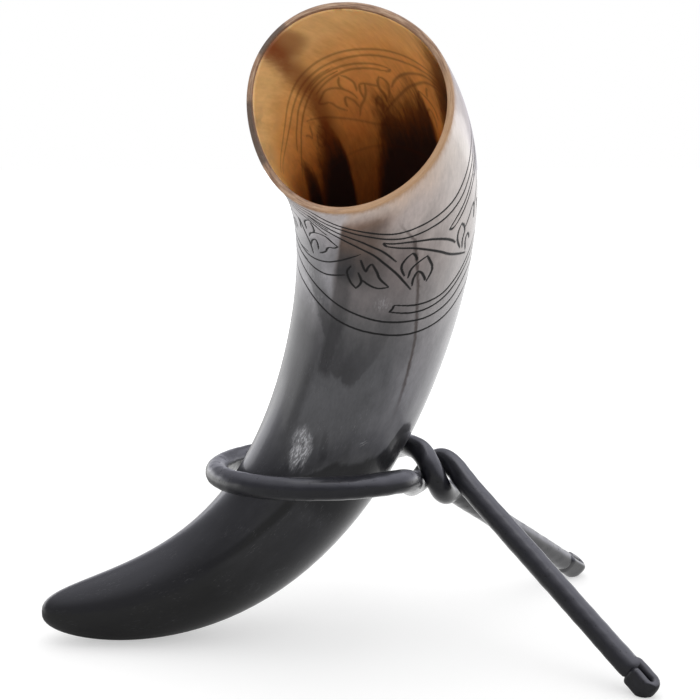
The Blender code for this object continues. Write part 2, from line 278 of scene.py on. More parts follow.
# Lamps: name, place, turn, width, height and power
LAMPS = [
    ("top_softbox", (0.0, -0.1, 1.3), (0.0, 0.0, 0.0), 1.0, 1.0, 2.4),
    ("left_softbox", (-0.85, 0.85, 0.13), (radians(90), 0.0, radians(-135)), 0.75, 0.24, 0.5),
    ("right_softbox", (1.0, 0.66, 0.13), (radians(90), 0.0, radians(123.4)), 0.8, 0.24, 0.5),
]

# Plain colours, and the distance from the tip at which the ramps along the horn end
BLACK = (0.0, 0.0, 0.0, 1.0)
WHITE = (1.0, 1.0, 1.0, 1.0)
COOL_WHITE = (0.88, 0.88, 1.0, 1.0)
FLOOR_WHITE = (0.85, 0.85, 0.85, 1.0)
RAMP_REACH = 280.0


def unit(vectors):
    """Vectors turned to length 1."""
    return vectors / np.linalg.norm(vectors, axis=-1, keepdims=True)


def bezier(points, t):
    """Bernstein sum of control points at t."""
    degree = len(points) - 1
    t = np.asarray(t, dtype=float)[..., None]
    return sum(comb(degree, i) * t**i * (1 - t) ** (degree - i) * points[i] for i in range(degree + 1))


def cubic(t, start, end, leave, arrive):
    """Cubic span from start to end with a slope at each, t from 0 to 1."""
    blend = t * t * (3 - 2 * t)
    return start * (1 - blend) + end * blend + leave * (t**3 - 2 * t**2 + t) + arrive * (t**3 - t**2)


def run_along(line):
    """Distance along a line of points, from its start to each of them."""
    return np.concatenate([[0.0], np.cumsum(np.linalg.norm(np.diff(line, axis=0), axis=1))])


SPINE_T = np.linspace(0.0, SPINE_OVERRUN, SPINE_STEPS)
SPINE_S = run_along(bezier(SPINE, SPINE_T))
MOUTH_AT = np.interp(1.0, SPINE_T, SPINE_S)
HOLLOW_END = MOUTH_AT - HOLLOW_DEPTH


def skin_radius(s, angle):
    """Outside radius: a power of the distance from the tip, swollen midway, with oval and egg terms."""
    share = s / MOUTH_AT
    mean = MOUTH_RADIUS * share**TAPER * (1 + SWELL * share * (1 - share))
    off_round = SECTION_OVAL * np.cos(2 * angle) + SECTION_EGG * np.cos(3 * angle - EGG_TURN)
    return mean * (1 + share * off_round)


def mm_per_degree(angle, s):
    """Length of one degree round the outside, in millimetres, on the horn's map."""
    return skin_radius(s * MM, np.radians(angle)) / MM * np.pi / 180


def horn_point(s, angle, radius):
    """Point off the middle line at s: radius times (cos(angle) to the front + sin(angle) to the side)."""
    t = np.interp(s, SPINE_S, SPINE_T)
    along = unit(bezier(np.diff(SPINE, axis=0), t))
    front = unit(TOWARDS_DRINKER - along * (along @ TOWARDS_DRINKER)[..., None])
    spoke = np.cos(angle)[..., None] * front + np.sin(angle)[..., None] * np.cross(along, front)
    return bezier(SPINE, t) + spoke * radius[..., None]


def rim_distance(angle):
    """Distance from the tip at which the mouth's slanted plane cuts the outside, by linear crossing."""
    search = np.linspace(RIM_SEARCH_FROM * MOUTH_AT, SPINE_S[-1], RIM_SEARCH_STEPS)
    s, turn = np.meshgrid(search, angle, indexing="ij")
    height = (horn_point(s, turn, skin_radius(s, turn)) - SPINE[-1]) @ RIM_FACING
    after = np.argmax(height > 0, axis=0)
    column = np.arange(len(angle))
    low, high = height[after - 1, column], height[after, column]
    return s[after - 1, column] + (s[after, column] - s[after - 1, column]) * low / (low - high)


def round_curve(knots, angle):
    """Smooth value at any angle through knots round the circle: cubic spans, slopes from neighbours."""
    at, value = np.array(sorted((a % 360.0, value) for a, value in knots)).T
    at = np.concatenate([at[-2:] - 360, at, at[:2] + 360])
    value = np.concatenate([value[-2:], value, value[:2]])
    slope = np.gradient(value, at)
    angle = np.asarray(angle, dtype=float) % 360.0
    k = np.clip(np.searchsorted(at, angle, side="right") - 1, 0, len(at) - 2)
    width = at[k + 1] - at[k]
    t = (angle - at[k]) / width
    return cubic(t, value[k], value[k + 1], slope[k] * width, slope[k + 1] * width)


def stroke_line(points):
    """Points of a smooth stroke through a few given ones: cubic spans, slopes from neighbours."""
    points = np.array(points, dtype=float)
    slope = np.gradient(points, axis=0)
    t = np.linspace(0.0, 1.0, STROKE_STEPS, endpoint=False)[:, None]
    spans = cubic(t, points[:-1, None], points[1:, None], slope[:-1, None], slope[1:, None])
    return np.concatenate([spans.reshape(-1, 2), points[-1:]])


def band_edges(angle):
    """Lower and upper edge of the leaf scroll at an angle."""
    return round_curve(LOWER_BORDER, angle), round_curve(INNER_BORDER, angle)


def all_strokes():
    """The front's strokes, and copies round the unseen sides at the same share of the band's height."""
    strokes = [stroke_line(points) for points in SCROLL]
    copies = []
    for turn in REPEATS:
        for line in strokes:
            middle = (line[0, 0] + line[-1, 0]) / 2 + turn
            if SEEN_TO < middle < SEEN_FROM + 360:
                low, high = band_edges(line[:, 0])
                share = (line[:, 1] - low) / (high - low)
                angle = line[:, 0] + turn
                low, high = band_edges(angle)
                copies.append(np.stack([angle, low + share * (high - low)], axis=1))
    return strokes + copies


def line_distance(angle, s, half_width, strokes):
    """Distance to the nearest engraved line, in half widths: borders down their slope, strokes by segments.

    angle in degrees and s in millimetres, as flat arrays. A stroke thins towards its two ends.
    """
    per_degree = mm_per_degree(angle, s)
    nearest = np.full(len(s), NO_LINE)
    for border in (UPPER_BORDER, INNER_BORDER, LOWER_BORDER, LOWEST_BORDER):
        at = round_curve(border, angle)
        slope = (round_curve(border, angle + 0.5) - round_curve(border, angle - 0.5)) / per_degree
        nearest = np.minimum(nearest, np.abs(s - at) / np.sqrt(1 + slope**2) / half_width)
    for line in strokes:
        middle = (line[:, 0].min() + line[:, 0].max()) / 2
        off = (angle - middle + 180) % 360 - 180
        reach = (line[:, 0].max() - line[:, 0].min()) / 2 + NEAR_DEGREES
        near = (np.abs(off) < reach) & (s > line[:, 1].min() - NEAR_MM) & (s < line[:, 1].max() + NEAR_MM)
        at = np.stack([off[near], s[near]], axis=1)[:, None]
        scale = np.stack([per_degree[near], np.ones(near.sum())], axis=1)[:, None]
        ends = line - (middle, 0)
        start, span = ends[:-1], np.diff(ends, axis=0)
        to_point, along = (at - start) * scale, span * scale
        share = np.clip((to_point * along).sum(2) / (along**2).sum(2), 0, 1)
        gap = np.linalg.norm(to_point - along * share[..., None], axis=2)
        place = (np.arange(len(span)) + share) / len(span)
        swell = np.clip(PEN_SWELL * place * (1 - place), 0, 1)
        pen = half_width * (PEN_END_SHARE + (1 - PEN_END_SHARE) * swell)
        nearest[near] = np.minimum(nearest[near], (gap / pen).min(axis=1))
    return nearest


def split_grid(rows, split_cells):
    """Faces of a grid that closes round its columns, with some cells split into SPLIT by SPLIT.

    All points lie on one fine lattice. A whole cell takes the extra points that split neighbours put on its
    sides into its own outline, so that no seam is open. Gives the used points' places in the lattice, the
    faces in groups of one size and each face's row.
    """
    fine_columns = COLUMNS * SPLIT
    i, j = np.nonzero(split_cells)
    used = np.zeros(((rows - 1) * SPLIT + 1, fine_columns), dtype=bool)
    used[::SPLIT, ::SPLIT] = True
    step = np.arange(SPLIT + 1)
    used[i[:, None, None] * SPLIT + step[:, None], (j[:, None, None] * SPLIT + step) % fine_columns] = True
    number = np.cumsum(used).reshape(used.shape) - 1
    # split cells
    row = i[:, None, None] * SPLIT + step[:-1, None]
    column = j[:, None, None] * SPLIT + step[:-1]
    row, column = np.broadcast_arrays(row, column)
    corners = [number[row + a, (column + b) % fine_columns] for a, b in [(0, 0), (0, 1), (1, 1), (1, 0)]]
    faces = [np.stack(corners, axis=-1).reshape(-1, 4)]
    face_rows = [np.repeat(i, SPLIT * SPLIT)]
    # whole cells, by which of their four sides carry extra points
    side = np.arange(SPLIT)
    around_row = np.concatenate([0 * side, side, 0 * side + SPLIT, SPLIT - side])
    around_column = np.concatenate([side, 0 * side + SPLIT, SPLIT - side, 0 * side])
    i, j = np.nonzero(~split_cells)
    row = i[:, None] * SPLIT + around_row
    column = (j[:, None] * SPLIT + around_column) % fine_columns
    kept = used[row, column]
    pattern = kept @ (1 << np.arange(kept.shape[1]))
    for kind in np.unique(pattern):
        cells = pattern == kind
        keep = kept[cells][0]
        faces.append(number[row[cells][:, keep], column[cells][:, keep]])
        face_rows.append(i[cells])
    return np.nonzero(used), faces, np.concatenate(face_rows)


def horn_rows():
    """The horn's rows: distance = a * rim + b, and how deep under the skin the row lies on the rim.

    Outside: a grows from the tip, even in the band. Rim: two quarter rounds and a flat. Hollow: a shrinks,
    even at first.
    """
    tip = BAND_FROM * (np.arange(1, TIP_ROWS + 1) / TIP_ROWS) ** TIP_ROW_POWER
    band = np.linspace(BAND_FROM, BAND_TO, BAND_ROWS + 1)[1:]
    outside = np.concatenate([tip, band, np.linspace(BAND_TO, 1.0, LAST_ROWS + 1)[1:]])
    turn = np.linspace(0, np.pi / 2, ROUNDING_ROWS + 1)[1:]
    flat = np.linspace(RIM_ROUNDING, RIM_WALL - RIM_ROUNDING, RIM_ROWS + 1)[1:]
    through = np.linspace(1.0, 1.0 - THROUGH_DEPTH, THROUGH_ROWS + 1)[:-1]
    deep = (1.0 - THROUGH_DEPTH) * (1 - (np.arange(HOLLOW_ROWS) / HOLLOW_ROWS) ** HOLLOW_ROW_POWER)
    hollow = np.concatenate([through, deep])
    rising, turning = RIM_ROUNDING * (1 - np.sin(turn)), RIM_ROUNDING * (1 - np.cos(turn))
    down = HOLLOW_END * (1 - hollow) - RIM_ROUNDING * hollow
    rim = np.ones(2 * ROUNDING_ROWS + RIM_ROWS)
    a = np.concatenate([outside, rim, hollow])
    b = np.concatenate([-outside * RIM_ROUNDING, -rising, np.zeros(RIM_ROWS), -turning, down])
    depth = np.concatenate([0 * outside, turning, flat, RIM_WALL - rising, 0 * hollow + RIM_WALL])
    return a, b, depth, len(outside), len(outside) + len(rim)


def line_gaps(degrees, s, inside, below_rim):
    """Distance to the nearest engraved line, in half widths, at every point of the lattice.

    The band lies on the outside; at the back of the mouth its lines are also painted on the hollow as their
    shadow through the thin wall.
    """
    on_skin = ~inside & (s > BAND_FOOT) & below_rim
    seen_through = inside & (s > THROUGH_FOOT)
    seen_through &= (degrees > THROUGH_SIDES[0]) & (degrees < THROUGH_SIDES[1])
    strokes = all_strokes()
    high_strokes = [line for line in strokes if line[:, 1].min() > THROUGH_LEAVES_FOOT]
    left, right = THROUGH_LEAVES
    back_strokes = [line for line in high_strokes if left < line[:, 0].mean() < right]
    gap = np.full(s.shape, NO_LINE)
    gap[on_skin] = line_distance(degrees[on_skin], s[on_skin], LINE_HALF_WIDTH, strokes)
    through_at = degrees[seen_through], s[seen_through]
    gap[seen_through] = line_distance(*through_at, THROUGH_HALF_WIDTH, back_strokes)
    return gap


def cells_on_lines(gap):
    """Which whole cells to split: those with a lattice point near a line, on their edges too."""
    near = np.concatenate([gap, gap[:, :1]], axis=1) < SPLIT_REACH
    cells = np.lib.stride_tricks.sliding_window_view(near, (SPLIT + 1, SPLIT + 1))[::SPLIT, ::SPLIT]
    return cells.any(axis=(2, 3))


def make_horn():
    """The horn: every point's place from its row and column, pressed in along the engraved lines."""
    a, b, depth, rim_from, hollow_from = horn_rows()
    rows = len(a)
    row = np.arange(rows)
    lattice = np.arange((rows - 1) * SPLIT + 1) / SPLIT
    angle = np.arange(COLUMNS * SPLIT) / (COLUMNS * SPLIT) * 2 * np.pi
    rim = rim_distance(angle)
    s = np.interp(lattice, row, a)[:, None] * rim + np.interp(lattice, row, b)[:, None]
    turn = np.broadcast_to(angle, s.shape)
    inside = np.broadcast_to((lattice >= hollow_from)[:, None], s.shape)
    gap = line_gaps(np.degrees(turn), s / MM, inside, (lattice < rim_from - 1)[:, None])
    pick, faces, face_rows = split_grid(rows, cells_on_lines(gap))
    s, turn, inside = s[pick], turn[pick], inside[pick]
    line = np.clip(1 - gap[pick] ** 2, 0, 1) ** 2
    skin = skin_radius(s, turn)
    share = np.clip((s - HOLLOW_END) / (rim[pick[1]] - HOLLOW_END), 0, 1)
    fill = (1 - (1 - share) ** HOLLOW_ROUNDNESS) ** (1 / HOLLOW_ROUNDNESS)
    under = np.interp(lattice, row, depth)[pick[0]]
    radius = np.where(inside, (skin - RIM_WALL) * fill, skin - under - LINE_DEPTH * MM * line)
    points = horn_point(s, turn, radius)
    # poles at the tip and at the bottom of the hollow
    count = len(points)
    poles = bezier(SPINE, np.array([0.0, np.interp(HOLLOW_END, SPINE_S, SPINE_T)]))
    first, last = np.arange(COLUMNS), np.arange(count - COLUMNS, count)
    faces.append(np.stack([np.full(COLUMNS, count), np.roll(first, -1), first], axis=1))
    faces.append(np.stack([np.full(COLUMNS, count + 1), last, np.roll(last, -1)], axis=1))
    face_rows = np.concatenate([face_rows, np.zeros(COLUMNS, int), np.full(COLUMNS, rows - 1)])
    points = np.concatenate([points, poles])
    place = np.stack([np.cos(turn), np.sin(turn), s / MM], axis=1)
    place = np.concatenate([place, [(1, 0, 0), (-1, 0, HOLLOW_END / MM)]])
    line = np.concatenate([line, (0, 0)])
    across = np.concatenate([under / RIM_WALL, (0, 1)])
    finish = (face_rows >= rim_from - 1).astype(int) + (face_rows >= hollow_from)
    return points, [loop for group in faces for loop in group.tolist()], place, line, across, finish


def ring_point(turn):
    """Point of the ring at an angle from +X; the ring dips at the back and rises to the right."""
    x, y = RING_RADIUS * np.cos(turn), RING_RADIUS * np.sin(turn)
    return RING_MIDDLE + np.stack([x, y, x * RING_RISE_RIGHT - y * RING_DIP_BACK], axis=-1)


def ease(start, start_heading, end, end_heading):
    """Cubic between two ends with their headings, without the ends."""
    t = np.linspace(0.0, 1.0, PATH_STEPS)[1:-1, None]
    reach = np.linalg.norm(end - start)
    return cubic(t, start, end, unit(start_heading) * reach, unit(end_heading) * reach)


def strand(side, height, turns, knee, fold):
    """Middle line from the ring's mouth through a flat helix, down a leg and round the folded toe.

    Also how flat the bar is hammered at each point, 0 to 1 in the toe, and the toe's width direction.
    """
    start = np.array((TWIST_START, RING_MIDDLE[1], ring_point(0.0)[2]))
    turn = np.linspace(0.0, turns, PATH_STEPS)
    x = TWIST_PITCH_IN_BARS * turn / (2 * np.pi)
    z = side * height * np.cos(turn) + TWIST_RISE_IN_BARS - TWIST_FALL * x
    helix = start + np.stack([x, -side * TWIST_DEPTH_IN_BARS * np.sin(turn), z], axis=1) * STRAND_PITCH
    opening = ring_point(side * RING_MOUTH_ANGLE)
    heading = opening - ring_point(side * (RING_MOUTH_ANGLE + RING_MOUTH_STEP))
    knee = start + np.array(knee) * (1.0, side, -1.0) * STRAND_PITCH
    foot = np.array((RING_MIDDLE[0] + FOOT_REACH, RING_MIDDLE[1] + side * FOOT_SPREAD / 2, FOOT_HEIGHT))
    down = unit(foot - knee)
    outwards = unit(np.array(fold) - down * (down @ fold))
    half_fold = outwards * (TOE_THICKNESS + TOE_SLIT) / 2
    length = np.linalg.norm(foot - knee)
    fine_from = length - FINE_LEG
    fine = np.linspace(fine_from, length, 3 * PATH_STEPS)[1:]
    leg_at = np.concatenate([np.linspace(0.0, fine_from, PATH_STEPS), fine])
    flat = np.clip((leg_at - length + TOE_LENGTH + TOE_TAPER) / TOE_TAPER, 0.0, 1.0)
    flat = flat * flat * (3 - 2 * flat)
    leg = knee + down * leg_at[:, None] - half_fold * flat[:, None]
    bend = np.linspace(0.0, np.pi, PATH_STEPS // 2)[1:, None]
    toe = foot - half_fold * np.cos(bend) + down * np.linalg.norm(half_fold) * np.sin(bend)
    back = foot + half_fold - down * np.linspace(0.0, TOE_LENGTH, PATH_STEPS // 2)[1:, None]
    before = [ease(opening, heading, helix[0], helix[1] - helix[0]), helix]
    before.append(ease(helix[-1], helix[-1] - helix[-2], knee, down))
    line = np.concatenate([*before, leg, toe, back])
    lead = sum(len(part) for part in before)
    flatness = np.concatenate([np.zeros(lead), flat, np.ones(len(toe) + len(back))])
    return line, flatness, np.cross(down, outwards)


def bar_line():
    """The whole bar's middle line, in even steps that are finer in the toes.

    Gives the distance along it, the points, how flat the bar is and the nearer toe's width direction.
    """
    far, far_flat, far_width = strand(**OVER_STRAND)
    near, near_flat, near_width = strand(**UNDER_STRAND)
    turn = np.linspace(RING_MOUTH_ANGLE, 2 * np.pi - RING_MOUTH_ANGLE, 4 * PATH_STEPS)
    rough = np.concatenate([far[::-1], ring_point(turn), near])
    flat = np.concatenate([far_flat[::-1], np.zeros(len(turn)), near_flat])
    run = run_along(rough)
    toe_run = 2 * TOE_LENGTH + TOE_TAPER + np.pi * (TOE_THICKNESS + TOE_SLIT) / 2
    toe_at = np.arange(0.0, toe_run, TOE_STEP)
    at = np.concatenate([toe_at, np.arange(toe_run, run[-1] - toe_run, BAR_STEP), (run[-1] - toe_at)[::-1]])
    line = np.stack([np.interp(at, run, rough[:, k]) for k in range(3)], axis=1)
    width = np.where(at[:, None] < run[-1] / 2, far_width, near_width)
    return at, line, np.interp(at, run, flat), width


def steady_frame(heading):
    """Two directions square to the bar at each point, which don't spin about it.

    They start from the cross product with a fixed direction and are turned back by the running sum of
    their own spin.
    """
    normal = unit(np.cross(heading, OFF_THE_BAR))
    across = np.cross(heading, normal)
    spin = np.concatenate([[0.0], np.cumsum((np.diff(normal, axis=0) * across[1:]).sum(1))])[:, None]
    cos, sin = np.cos(spin), np.sin(spin)
    return normal * cos - across * sin, normal * sin + across * cos


def squarer(share, amount):
    """Round section towards a square one: the size of each share to a power that is 1 or a little less."""
    return np.sign(share) * np.abs(share) ** (1 - TOE_SQUARENESS * amount)


def toe_section(spoke, width, over, flat):
    """A round section's spokes hammered flat: each part stretched or thinned its own way, and squarer."""
    wider = 1 + flat * (TOE_WIDTH / BAR_DIAMETER - 1)
    thinner = 1 + flat * ((TOE_THICKNESS + TOE_FULLNESS) / BAR_DIAMETER - 1)
    radius = np.linalg.norm(spoke, axis=2, keepdims=True)
    toe_width = squarer((spoke * width).sum(2, keepdims=True) / radius, flat)
    toe_over = squarer((spoke * over).sum(2, keepdims=True) / radius, flat)
    flattened = (width * toe_width * wider + over * toe_over * thinner) * radius
    return np.where(flat > 0, flattened, spoke)


def make_stand():
    """The bar: a round section carried along its line on a steady frame, and flattened in the toes.

    Soft waves round and along the bar are its hammering. The ends are rounded, and the feet ground level.
    """
    at, line, flat, width = bar_line()
    heading = unit(np.gradient(line, axis=0))
    normal, across = steady_frame(heading)
    side = np.linspace(0.0, 2 * np.pi, BAR_SIDES, endpoint=False)[:, None]
    along = at[:, None, None]
    waves = sum(np.sin(turns * side + rate * along + start) for turns, rate, start in HAMMER_WAVES)
    facets = np.cos(2 * side - FACET_TURNS * along)
    radius = BAR_DIAMETER / 2 + HAMMERING / 2 * waves + FLATTER / 2 * facets - HAMMERING
    spoke = (np.cos(side) * normal[:, None] + np.sin(side) * across[:, None]) * radius
    over = np.cross(heading, width)
    spoke = toe_section(spoke, width[:, None], over[:, None], flat[:, None, None])
    to_end = np.clip(np.minimum(at, at[-1] - at) / LIP_ROUNDING, 0.0, 1.0)
    spoke = spoke * np.sqrt(1 - (1 - np.maximum(to_end, LIP_LEAST)) ** 2)[:, None, None]
    points = line[:, None] + spoke
    points[..., 2] = np.maximum(points[..., 2], 0.0)
    number = np.arange(len(line) * BAR_SIDES).reshape(-1, BAR_SIDES)
    following = np.roll(number, -1, axis=1)
    corners = [number[:-1], following[:-1], following[1:], number[1:]]
    faces = np.stack(corners, axis=-1).reshape(-1, 4).tolist()
    return points.reshape(-1, 3), [*faces, number[0, ::-1].tolist(), number[-1].tolist()]


def put(name, data, at=(0.0, 0.0, 0.0), turn=(0.0, 0.0, 0.0)):
    """New object in the scene."""
    placed = bpy.data.objects.new(name, data)
    placed.location = at
    placed.rotation_euler = turn
    bpy.context.scene.collection.objects.link(placed)
    return placed


def add_piece(name, points, faces, materials):
    """Smooth mesh object at the origin, from points and outward faces."""
    mesh = bpy.data.meshes.new(name)
    mesh.from_pydata(points.tolist(), [], faces)
    for material in materials:
        mesh.materials.append(material)
    mesh.shade_smooth()
    return put(name, mesh)


class Wire:
    """One socket of a node tree. Operators add Math nodes; add() makes any other node."""

    def __init__(self, tree, socket=None):
        self.tree = tree
        self.socket = socket

    def add(self, kind, settings, sockets, output=0):
        """New shader node: its settings first, then its sockets' values or links. Gives one output."""
        node = self.tree.nodes.new("ShaderNode" + kind)
        for key, value in settings.items():
            setattr(node, key, value)
        for key, value in sockets.items():
            if isinstance(value, Wire):
                self.tree.links.new(value.socket, node.inputs[key])
            else:
                node.inputs[key].default_value = value
        return Wire(self.tree, node.outputs[output])

    def math(self, operation, *values):
        return self.add("Math", {"operation": operation}, dict(enumerate(values)))

    def __add__(self, other):
        return self.math("ADD", self, other)

    def __sub__(self, other):
        return self.math("SUBTRACT", self, other)

    def __rsub__(self, other):
        return self.math("SUBTRACT", other, self)

    def __mul__(self, other):
        return self.math("MULTIPLY", self, other)

    __radd__ = __add__
    __rmul__ = __mul__

    def size(self):
        """The value without its sign."""
        return self.math("ABSOLUTE", self)

    def either(self, other):
        """The larger of two values."""
        return self.math("MAXIMUM", self, other)

    def rise(self, low, high):
        """0 below low and 1 above high, eased between; falls instead where low is above high."""
        return self.add("MapRange", {"interpolation_type": "SMOOTHSTEP"}, {0: self, 1: low, 2: high})

    def within(self, low, full_from, full_to, high):
        """1 from full_from to full_to, eased to 0 at low and at high."""
        return self.rise(low, full_from) * self.rise(high, full_to)

    def blend(self, first, second):
        """Colour between two, by this value."""
        return self.add("Mix", {"data_type": "RGBA"}, {0: self, 6: first, 7: second}, 2)

    def over(self, colour, *values):
        """A colour painted over with another, given by its 0 to 255 values, as thickly as this value."""
        return self.blend(colour, paint(*values))

    def tinted(self, red, green, blue):
        """This colour with its three parts multiplied by three values."""
        tint = self.add("CombineColor", {}, {0: red, 1: green, 2: blue})
        settings = {"data_type": "RGBA", "blend_type": "MULTIPLY"}
        return self.add("Mix", settings, {0: 1.0, 6: self, 7: tint}, 2)

    def ramp(self, *stops):
        """Colour ramp; each stop is its position and a colour's 0 to 255 values."""
        ramp = self.add("ValToRGB", {}, {0: self})
        elements = ramp.socket.node.color_ramp.elements
        while len(elements) < len(stops):
            elements.new(0.5)
        for element, (position, *colour) in zip(elements, stops):
            element.position = position
            element.color = paint(*colour)
        return ramp

    def axes(self):
        """The three numbers of this vector."""
        split = self.add("SeparateXYZ", {}, {0: self}).socket.node
        return [Wire(self.tree, output) for output in split.outputs]

    def drawn(self, factor):
        """This map with its distance multiplied, so that a noise on it is drawn out along the horn."""
        return self.add("VectorMath", {"operation": "MULTIPLY"}, {0: self, 1: (1.0, 1.0, factor)})

    def noise(self, scale, detail=3.0, roughness=0.55):
        sockets = {"Vector": self, "Scale": scale, "Detail": detail, "Roughness": roughness}
        return self.add("TexNoise", {}, sockets)

    def attribute(self, name, output=2):
        return self.add("Attribute", {"attribute_name": name}, {}, output)

    def rays(self, *kinds):
        """1 for each kind of ray, by its name in the light path, and else 0."""
        outputs = self.add("LightPath", {}, {}).socket.node.outputs
        return [Wire(self.tree, outputs[kind]) for kind in kinds]

    def bump(self, height, strength, distance):
        sockets = {"Height": height, "Strength": strength, "Distance": distance}
        return self.add("Bump", {}, sockets)


def paint(red, green, blue):
    """Linear colour from its usual 0 to 255 values."""
    share = np.array((red, green, blue)) / 255
    linear = np.where(share <= 0.04045, share / 12.92, ((share + 0.055) / 1.055) ** 2.4)
    return (*linear.tolist(), 1.0)


def new_material(name, colour, inputs):
    """Material with the shader's fixed inputs, the wire that starts its tree, and the shader."""
    material = bpy.data.materials.new(name)
    material.use_nodes = True
    material.diffuse_color = colour
    shader = material.node_tree.nodes["Principled BSDF"]
    for socket, value in {"Base Color": colour, **inputs}.items():
        shader.inputs[socket].default_value = value
    return material, Wire(material.node_tree), shader


def link(shader, wires):
    """Wires into a shader's sockets, by their names."""
    for socket, wire in wires.items():
        wire.tree.links.new(wire.socket, shader.inputs[socket])


def horn_map(wire):
    """The horn's map: place vector, angle as -180 to 180 and as 0 to 360 degrees, and distance."""
    place = wire.attribute("place", 1)
    front, side, s = place.axes()
    angle = front.math("ARCTAN2", side, front) * (180 / np.pi)
    from_back = front.math("ARCTAN2", side * -1.0, front * -1.0) * (180 / np.pi) + 180.0
    return place, angle, from_back, s


def s_ramp(s, *stops):
    """Colour by distance from the tip; each stop is its distance in millimetres and a colour."""
    return (s * (1 / RAMP_REACH)).ramp(*[(at / RAMP_REACH, *colour) for at, *colour in stops])


def off_middle(x, y):
    """Squared distance from a round mark's middle, with both ways in its half widths."""
    return x * x + y * y


def horn_ground(angle, s, wander):
    """Colours of the outside under its marks: by distance in front, and then at both sides and the back."""
    at = s + wander * 0.5
    colour = s_ramp(
        at,
        (60, 19, 19, 20), (80, 34, 34, 36), (100, 40, 40, 43), (118, 52, 52, 55), (138, 79, 79, 82),
        (170, 79, 79, 82), (188, 88, 86, 87), (203, 108, 102, 102), (219, 115, 105, 103),
        (228, 132, 122, 119), (236, 158, 148, 144), (244, 184, 171, 166), (252, 192, 172, 159),
        (264, 186, 158, 134),
    )
    # cool grey at the left, cream at the right and warm at the back
    left = (angle + wander * 0.06).rise(-32.5, -38.5) * angle.rise(-160, -80) * s.rise(118, 142)
    left_colour = s_ramp(
        at,
        (120, 46, 46, 48), (142, 66, 66, 69), (172, 64, 63, 66), (186, 96, 94, 97),
        (198, 146, 144, 148), (219, 122, 120, 123), (228, 148, 144, 147), (240, 186, 181, 182),
        (256, 192, 182, 180),
    )
    colour = left.blend(colour, left_colour)
    right = (angle + wander * 0.3).rise(4, 38) * angle.rise(150, 62) * s.rise(120, 144)
    right_colour = s_ramp(
        at,
        (120, 66, 66, 69), (140, 96, 96, 100), (166, 122, 121, 125), (190, 140, 137, 139),
        (204, 154, 149, 148), (220, 164, 155, 152), (238, 184, 174, 170), (252, 196, 184, 176),
    )
    colour = right.blend(colour, right_colour)
    behind = angle.size().rise(78, 130) * (s + wander).rise(176, 226)
    colour = behind.blend(colour, s_ramp(s + wander, (205, 104, 88, 72), (250, 186, 162, 130)))
    # brown patch in front, sharp at its left edge, grey below and fading out under the rim
    edge = angle + (s - 222) * 0.1 + wander * 0.05
    height = s + wander * 0.2
    patch = edge.rise(-36.2, -34) * (angle + wander * 0.25).rise(3, -19)
    patch = patch * height.rise(200, 211) * (height - angle * 0.1).rise(254, 245)
    patch_colour = s_ramp(
        s + wander * 0.3,
        (204, 80, 77, 77), (214, 64, 59, 58), (221, 70, 61, 58), (229, 90, 74, 65), (238, 92, 75, 66),
        (245, 116, 90, 73), (252, 160, 134, 114),
    )
    return (patch * 0.94).blend(colour, patch_colour)


def dark_marks(colour, wire, angle, s, wander, mottle):
    """The outside's colour with its dark marks: clouds, smudges, painted shade of the ring with a dark
    stain, and a streak.
    """
    # clouds under the band, with a ragged lower edge
    ragged = s + wander * 0.25
    band = (angle + wander * 0.2).rise(-37.5, -33) * (angle + wander * 0.3).rise(-20, -27)
    band = band * ragged.within(157, 163, 212, 226) * 0.85
    band = band * (1 - s.within(182, 191, 205, 212) * 0.42)
    above_cloud = wire.attribute("above_cloud")
    clouds = (above_cloud + wander * 0.3 + (mottle - 0.5) * 14).rise(-1, 2)
    clouds = clouds * (above_cloud + wander * 0.4).rise(30, 6)
    clouds = clouds * angle.within(-68, -50, -14, 16) * 0.72
    colour = band.either(clouds).over(colour, 40, 39, 42)
    # smudges above the ring, drawn out along the grain
    smudge = off_middle((angle + 8 + (s - 132) * 0.5 + wander * 0.1) * 0.22, (s - 132) * 0.11)
    side_streak = (angle + 43 + wander * 0.2) * 0.16
    side_streak = (side_streak * side_streak).rise(1, 0) * s.within(116, 130, 156, 172) * 0.35
    colour = (smudge.rise(1, 0) * 0.45).either(side_streak).over(colour, 38, 38, 40)
    # painted shade of the ring with a dark stain, and a streak below it
    ring_shade_and_stain = (wire.attribute("above_ring_shade_and_stain") + wander * 0.08 + (mottle - 0.5) * 9).rise(1, -1.6)
    colour = (ring_shade_and_stain * s.rise(104, 112) * 0.82).over(colour, 26, 26, 28)
    low_streak = (angle + 10 + (102 - s) * 0.29 + wander * 0.1).size().rise(6.5, 2)
    low_streak = low_streak * s.within(44, 66, 104, 114)
    return (low_streak * 0.85).over(colour, 12, 12, 13)


